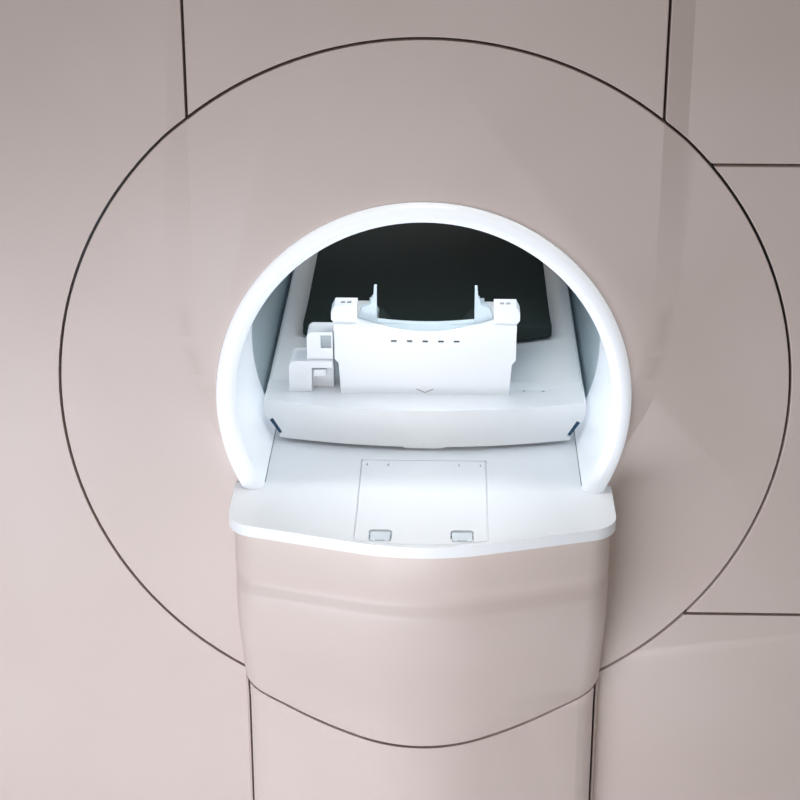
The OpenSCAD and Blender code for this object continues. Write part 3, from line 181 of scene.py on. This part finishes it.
# powder-coated sheet: light grey with a pebbled coat
finishes["skirt_grey"] = grained(base_finish("powder-coated sheet", "CED1D5", 0.48), 1.8, 0.03)
finishes["frame_steel"] = grained(base_finish("powder-coated steel", "73777D", 0.5), 1.8, 0.03)
finishes["panel_grey"] = base_finish("moulded panel", "D9DDE0", 0.32)
finishes["button_blue"] = base_finish("silicone key, blue", "4D8196", 0.46)
finishes["stop_red"] = base_finish("glossy red nylon", "C2211C", 0.24)

# bare metals: brushed along the bore, or turned, so the grain runs one way
finishes["vessel_steel"] = grained(base_finish(
    "brushed stainless steel", "CFD3D8", 0.34, Metallic=1.0), 1.4, 0.01, (1, 0.04, 1))
finishes["lift_steel"] = grained(base_finish(
    "ground steel", "A9AFB6", 0.22, Metallic=1.0), 0.8, 0.004, (1, 1, 0.05))
finishes["roller_grey"] = base_finish("anodised aluminium", "9299A0", 0.36, Metallic=1.0)
finishes["winding_metal"] = base_finish("wound copper wire", "B87838", 0.4, Metallic=1.0)

finishes["gradient_resin"] = clouded(base_finish("cast epoxy", "8C9A6B", 0.35), "7A8A58", 120)
finishes["coil_former"] = base_finish("amber glass-fibre former", "C78047", 0.45)
finishes["belt_black"] = grained(base_finish("moulded rubber", "26272A", 0.7), 1.2, 0.04)

# polyurethane-coated knit: dark grey, matt, with a fine leathery grain of about 1.5 mm
finishes["pad_grey"] = grained(base_finish(
    "coated knit fabric", "2B3432", 0.72, Specular_IOR_Level=0.12), 1.5, 0.12)

for name, solid in nodes.items():
    solid.data.materials.clear()
    solid.data.materials.append(finishes[slot_of[name]])
print(f"{len(finishes)} finishes on {len(nodes)} solids")

# %% [markdown]
# ## Rounded edges
# A moulded or painted part has no sharp edge: each one catches a thin line of light. A copy of
# the solid's mesh is merged, because it comes as loose triangles, and its flat faces are joined
# again. A Bevel modifier then rounds what is sharper than a set angle, so the round stretches
# stay as they are. The copy stands in for the solid and rides on the same body.

# %% The rounding helper
def joined_copy(name):
    """A copy of a solid's mesh with its triangles merged and its flat faces made whole."""
    bm = bmesh.new()
    bm.from_mesh(nodes[name].data)
    bmesh.ops.remove_doubles(bm, verts=bm.verts, dist=0.02 * MM)
    bmesh.ops.dissolve_limit(bm, angle_limit=math.radians(0.4), verts=bm.verts, edges=bm.edges)
    mesh = bpy.data.meshes.new(name + "_finished")
    bm.to_mesh(mesh)
    bm.free()
    piece = bpy.data.objects.new(name + "_finished", mesh)
    bpy.context.scene.collection.objects.link(piece)
    return piece


def stand_in(piece, name):
    """The piece takes a solid's finish, place and body, and is shown instead of it."""
    piece.data.materials.clear()
    piece.data.materials.append(finishes[slot_of[name]])
    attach(piece, body_holding[name])
    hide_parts(name)
    return piece


def soften(name, radius_mm, segments=3, sharper_than=38):
    """A solid with its sharp edges rounded by radius_mm."""
    piece = joined_copy(name)
    piece.data.shade_smooth()
    piece.data.set_sharp_from_angle(angle=math.radians(sharper_than))
    bevel = piece.modifiers.new("rounded edges", "BEVEL")
    bevel.width = radius_mm * MM
    bevel.segments = segments
    bevel.limit_method = "ANGLE"
    bevel.angle_limit = math.radians(sharper_than)
    bevel.use_clamp_overlap = True
    bevel.harden_normals = True
    return stand_in(piece, name)


# %% [markdown]
# ## Covers, ring and shelf
# The covers are thin shells with tight edges beside their seams, so they get a small radius.
# The shelf is thick and soft: people lean on it, and its rim rolls over in a wide round.

# %% Soften the covers and the rear end
cover_names = [n for n in nodes if n.endswith("_cover")]
for name in cover_names:
    soften(name, 2.5, 2)
soften("rear_bore_ring", 2.0, 2)
soften("front_bore_ring", 3.0, 2)
soften("rear_shelf", 8.0, 4, 50)
soften("shelf_hatch", 0.8, 2)
for side in ("left", "right"):
    soften(f"shelf_latch_{side}", 1.6, 2)
    soften(f"control_panel_{side}", 3.0, 3)
    for use in ("up", "down", "stop"):
        soften(f"{use}_button_{side}", 1.5, 2)
print(f"{len(cover_names)} covers softened")

# %% [markdown]
# ## Table, coil and bore
# The coil's housing is a thick moulding with generous radii, and the tabletop's shell rolls
# over at its rim. Sheet-metal skirts keep nearly sharp edges.

# %% Soften the table, the coil and what stands in the bore
edge_radii = {
    "head_coil_housing": 4.0, "head_coil_cradle": 1.6, "coil_socket": 0.8, "coil_plug": 0.8,
    "tabletop": 4.0, "tabletop_end_cap": 4.5, "table_deck": 5.0, "table_base": 1.0,
    "table_middle_skirt": 1.0, "bore_bridge": 2.0, "vent_turret": 2.0, "cold_head": 2.0,
    "magnet_feet": 2.0, "vacuum_vessel": 3.0, "bore_liner": 1.0, "rear_roller": 1.5,
    "front_roller": 1.5, "drive_pulley": 1.0, "drive_belt": 0.8}
for name, radius in edge_radii.items():
    soften(name, radius)
print(f"{len(edge_radii)} more pieces softened")

# %% [markdown]
# ## Padded pieces
# A pad is foam in a welded, coated cover: its top is crowned, its rim pulls in, and it is flat
# only where it lies. Cloth simulation makes that by itself. The solid is remeshed into even
# quads, shrunk a little and blown up by pressure, and how far a point may move is capped. The
# welded seam comes after it, as a shallow groove round the sides.

# %% The padding helper
pressure = 4.0                  # of the air inside, as Blender counts it
frames = 20                     # a short run is enough for a firm pad
seam_depth = 2.5 * MM


def even_mesh(name, voxel_mm, shrink_mm):
    """A remeshed copy of a solid, drawn in a little so that it has room to swell."""
    piece = joined_copy(name)
    remesh = piece.modifiers.new("even quads", "REMESH")
    remesh.mode = "VOXEL"
    remesh.voxel_size = voxel_mm * MM
    shrink = piece.modifiers.new("drawn in", "DISPLACE")
    shrink.strength = -shrink_mm * MM
    shrink.mid_level = 0.0
    settled = piece.evaluated_get(bpy.context.evaluated_depsgraph_get())
    mesh = bpy.data.meshes.new_from_object(settled)
    piece.modifiers.clear()
    piece.data = mesh
    return piece


def blown_up(piece):
    """The places of the piece's points after a short cloth simulation under inner pressure."""
    cloth = piece.modifiers.new("padding", "CLOTH")
    cloth.settings.use_pressure = True
    cloth.settings.uniform_pressure_force = pressure
    cloth.settings.effector_weights.gravity = 0.0
    scene = bpy.context.scene
    for step in range(1, frames + 1):
        scene.frame_set(step)
    settled = piece.evaluated_get(bpy.context.evaluated_depsgraph_get())
    places = [v.co.copy() for v in settled.data.vertices]
    piece.modifiers.clear()
    scene.frame_set(1)
    return places


def padded_piece(name, voxel_mm, cap_mm, lies_below_mm, seam_up_mm):
    """A stuffed pad in place of a solid; what lies below a height above its foot stays put."""
    piece = even_mesh(name, voxel_mm, cap_mm * 0.6)
    low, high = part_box(name)
    rest = [v.co.copy() for v in piece.data.vertices]
    swollen = blown_up(piece)
    seam_z = high.z - seam_up_mm * MM
    for vertex, start, end in zip(piece.data.vertices, rest, swollen):
        move = end - start
        if move.length > cap_mm * MM:
            move *= cap_mm * MM / move.length
        free = min(1.0, max(0.0, (start.z - low.z) / (lies_below_mm * MM)))
        vertex.co = start + move * free
        groove = 1 - min(1.0, abs(start.z - seam_z) / (voxel_mm * MM))
        vertex.co -= vertex.normal * groove * seam_depth
    piece.data.shade_smooth()
    smooth = piece.modifiers.new("smooth cover", "SUBSURF")
    smooth.levels = smooth.render_levels = 1
    stand_in(piece, name)
    print(f"{name}: {len(piece.data.vertices)} points")
    return piece


# %% The mattress and the head cushion
padded_piece("mattress", voxel_mm=10, cap_mm=6, lies_below_mm=24, seam_up_mm=20)
padded_piece("head_cushion", voxel_mm=4, cap_mm=3, lies_below_mm=60, seam_up_mm=8)

# %% [markdown]
# ## Small inlays
# Dark blue strips that paint the shade in the corner slots of the tabletop's end, screws beside
# the coil, a grey window in the plug, black sheets that paint the shade inside the vents and
# sockets, and a printed mark are too small to be solids of their own. Each is a small box or disc,
# set a little below the face that it lies in, so it hides no shape.

# %% The inlay helpers
def box_part(bm, size_mm, place, turn_y=0.0):
    """A box of a size in millimetres added to a mesh, turned about Y at its middle."""
    made = bmesh.ops.create_cube(bm, size=1.0)["verts"]
    bmesh.ops.scale(bm, verts=made, vec=[side * MM for side in size_mm])
    bmesh.ops.rotate(bm, verts=made, matrix=Matrix.Rotation(math.radians(turn_y), 3, "Y"))
    bmesh.ops.translate(bm, verts=made, vec=place)


def disc_part(bm, radius_mm, depth_mm, place):
    """An upright disc of a radius and a depth in millimetres added to a mesh."""
    bmesh.ops.create_cone(bm, cap_ends=True, segments=32, radius1=radius_mm * MM,
                          radius2=radius_mm * MM, depth=depth_mm * MM,
                          matrix=Matrix.Translation(place))


def inlay(name, bm, finish, host):
    """The mesh as a piece that rides with the body of its host solid."""
    mesh = bpy.data.meshes.new(name)
    bm.to_mesh(mesh)
    bm.free()
    piece = bpy.data.objects.new(name, mesh)
    bpy.context.scene.collection.objects.link(piece)
    mesh.materials.append(finish)
    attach(piece, body_holding[host])
    print(f"{name}: {len(mesh.polygons)} faces")
    return piece


# dark blue painted slot shade, black painted shade for openings, smoked grey acrylic, grey
# printing ink, screw steel
slot_shade_blue = grained(base_finish("dark blue painted slot shade", "1F4A66", 0.6), 1.0, 0.03)
opening_shade_black = base_finish("black painted shade in openings", "15191B", 0.8)
window_grey = base_finish("smoked acrylic", "8B979B", 0.12)
print_grey = base_finish("printing ink, grey", "8A8F92", 0.6)
screw_steel = base_finish("turned screw steel", "B4B9BD", 0.3, Metallic=1.0)

# %% [markdown]
# ## Inlays of the tabletop's end
# The end cap has a slot in each lower corner, with a dark blue strip sunk in it that paints the
# shade in the slot, and two countersunk holes beside the coil. Their places come from the cap's
# own box.

# %% Painted slot shade and screws
cap_low, cap_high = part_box("tabletop_end_cap")
strip_mm = (33, 20, 7)          # a strip's width, length and thickness
corner_x = 0.301                # how far out the middle of a lower corner is
corner_up = 22.5 * MM           # how far that middle is above the cap's foot
corner_back = 56 * MM           # and behind the cap's end
corner_slope = 56.3             # degrees that the corner's face leans
strip_sink = 5.5 * MM           # the strip's middle lies this far inside the face

bm = bmesh.new()
lean = math.radians(corner_slope)
for side in (-1, 1):
    middle = Vector((side * corner_x, cap_low.y + corner_back, cap_low.z + corner_up))
    inward = Vector((-side * math.sin(lean), 0, math.cos(lean)))
    box_part(bm, strip_mm, middle + inward * strip_sink, -side * corner_slope)
# dark blue strips sunk in the lower corner slots paint the shade in them
inlay("corner_slot_shade", bm, slot_shade_blue, "tabletop_end_cap")

screw_places = (0.1984, 0.2368)  # to the right of the coil
screw_back = 45 * MM             # from the cap's inner end
bm = bmesh.new()
for x in screw_places:
    disc_part(bm, 3.3, 0.6, (x, cap_high.y - screw_back, cap_high.z - 0.6 * MM))
inlay("cap_screws", bm, screw_steel, "tabletop_end_cap")

# %% [markdown]
# ## Inlays of the coil
# The tower tops have two sockets each, and the rim below the dip has a row of vents. Black sheets
# a little below the surface paint the shade inside them, so that they read as openings. A small
# chevron printed on the front shows where the coil stands on the tabletop.

# %% Painted shade in the openings, plug window and printed mark
coil_low, coil_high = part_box("head_coil_housing")
tower_x = 0.157                 # from the coil's middle to the middle of a tower
socket_step = 6.05 * MM         # from a tower's middle to each of its two sockets
tower_back = 32 * MM            # the sockets' place behind the coil's front
vent_step = 31 * MM             # from one vent to the next
vent_down = 70 * MM             # the vents' place below the towers' tops

bm = bmesh.new()
for side in (-1, 1):
    for step in (-1, 1):
        box_part(bm, (8.7, 10.9, 2), (side * tower_x + step * socket_step,
                                      coil_low.y + tower_back, coil_high.z - 4 * MM))
for step in range(-2, 3):
    box_part(bm, (10.9, 2, 3.9), (step * vent_step, coil_low.y + 5 * MM, coil_high.z - vent_down))
# black sheets below the sockets and vents paint the shade inside them
inlay("vents_and_sockets_shade", bm, opening_shade_black, "head_coil_housing")

plug_low, plug_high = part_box("coil_plug")
plug_w, plug_h = plug_high.x - plug_low.x, plug_high.z - plug_low.z
bm = bmesh.new()
box_part(bm, (plug_w * 390, 1.5, plug_h * 450),
         (plug_high.x - plug_w * 0.26, plug_low.y + 3.2 * MM, plug_low.z + plug_h * 0.65))
inlay("plug_window", bm, window_grey, "coil_plug")

mark_lean = 24                  # degrees that each stroke of the chevron leans
bm = bmesh.new()
for side in (-1, 1):
    place = (side * 8.7 * MM, coil_low.y + 7.9 * MM, coil_low.z + 31 * MM)
    box_part(bm, (19, 0.4, 1.3), place, -side * mark_lean)
inlay("coil_mark", bm, print_grey, "head_coil_housing")

# %% [markdown]
# ## The floor
# A plain pale floor takes the object's shadow. Light thrown back from a very bright floor would
# wash out the covers, so its extra paleness is for the camera's own rays only.

# %% Floor
stage_mesh = bpy.data.meshes.new("floor")
bm = bmesh.new()
bmesh.ops.create_grid(bm, x_segments=1, y_segments=1, size=9.0)
bmesh.ops.translate(bm, verts=bm.verts, vec=(0, 1.0, -1 * MM))
bm.to_mesh(stage_mesh)
bm.free()
floor = bpy.data.objects.new("floor", stage_mesh)
bpy.context.scene.collection.objects.link(floor)

# the floor looks paler to the camera alone, so it throws no more light on the object
floor_finish = base_finish("pale resin floor", "DADCDD", 0.6, Emission_Color=linear("DADCDD"))
floor_tree = floor_finish.node_tree
camera_path = add_node(floor_tree, "ShaderNodeLightPath")
glow = add_node(floor_tree, "ShaderNodeMath", {
    0: camera_path.outputs["Is Camera Ray"], 1: 0.25}, operation="MULTIPLY")
floor_tree.links.new(
    glow.outputs[0], floor_tree.nodes["Principled BSDF"].inputs["Emission Strength"])
floor.data.materials.append(floor_finish)

# %% [markdown]
# ## The light
# The light is plain and soft. A low, wide panel stands to the left of the rear end, so that the
# covers darken slowly towards the upper right. Small lamps with a narrow beam reach the shelf
# and the coil, which the ring would shade, and one large panel lights the front. A pale world
# fills the rest. No lamp is so strong that a white surface burns out.

# %% World
world = bpy.data.worlds.new("pale room")
bpy.context.scene.world = world
world.use_nodes = True
background = world.node_tree.nodes["Background"]
background.inputs["Color"].default_value = linear("FFF7F1")

# the world is pale to the eye and in mirrors, and gives the surfaces only a weak light
path = add_node(world.node_tree, "ShaderNodeLightPath")
mirrored = add_node(world.node_tree, "ShaderNodeMath", {
    0: path.outputs["Is Glossy Ray"], 1: path.outputs["Is Transmission Ray"]}, operation="MAXIMUM")
seen = add_node(world.node_tree, "ShaderNodeMath", {
    0: path.outputs["Is Camera Ray"], 1: mirrored.outputs[0]}, operation="MAXIMUM")
level = add_node(world.node_tree, "ShaderNodeMapRange", {
    "Value": seen.outputs[0], "To Min": 0.26, "To Max": 0.75})
world.node_tree.links.new(level.outputs[0], background.inputs["Strength"])
print(f"world: {len(world.node_tree.nodes)} nodes")

# %% Lamps
def soft_panel(name, place, target, size, watts, colour="FFFFFF", spread=180, height=None):
    """An area light at a place, turned towards a target; spread narrows its beam."""
    light = bpy.data.lights.new(name, "AREA")
    light.shape = "RECTANGLE"
    light.size = size
    light.size_y = height or size
    light.spread = math.radians(spread)
    light.energy = watts
    light.color = linear(colour)[:3]
    lamp = bpy.data.objects.new(name, light)
    bpy.context.scene.collection.objects.link(lamp)
    lamp.location = place
    lamp.rotation_mode = "QUATERNION"
    lamp.rotation_quaternion = (Vector(target) - Vector(place)).to_track_quat("-Z", "Y")
    return lamp


rear_y = -0.865                 # the plane of the rear covers
soft_panel("key panel", (-0.95, rear_y - 1.9, 0.40), (-0.1, rear_y, 0.55), 2.0, 20, "F2F5FF",
           spread=130, height=0.7)
soft_panel("shelf panel", (0, rear_y - 0.45, 6.0), (0, rear_y - 0.17, 0.9), 0.8, 1.8, spread=22)
soft_panel("bore panel", (0, rear_y + 0.34, 1.385), (0, rear_y + 0.22, 0.9), 0.3, 1.0)
soft_panel("bore fill", (0, rear_y - 3.0, 1.9), (0, rear_y, 1.02), 0.4, 0.19, spread=12)
soft_panel("front panel", (3.6, 5.4, 3.2), (0, 1.6, 0.9), 3.0, 190)

# %% [markdown]
# ## The camera
# A long lens a few metres behind the rear end gives the flat, straight look of the picture that
# this part follows. The camera stands above the shelf and looks down at about 23 degrees, and
# a direction vector made from its two angles turns it there.

# %% Camera
camera_data = bpy.data.cameras.new("camera")
camera_data.sensor_width = 36.0
camera_data.lens = 88.97
camera = bpy.data.objects.new("camera", camera_data)
bpy.context.scene.collection.objects.link(camera)
bpy.context.scene.camera = camera
camera.location = (0.044, -4.269, 2.522)
look_turn, look_down = -0.0258, 0.4042
look = Vector((math.sin(look_turn) * math.cos(look_down),
               math.cos(look_turn) * math.cos(look_down), -math.sin(look_down)))
camera.rotation_mode = "QUATERNION"
camera.rotation_quaternion = look.to_track_quat("-Z", "Y")
bpy.context.scene.view_settings.view_transform = "Standard"
print(f"camera looks down {math.degrees(look_down):.1f} degrees")
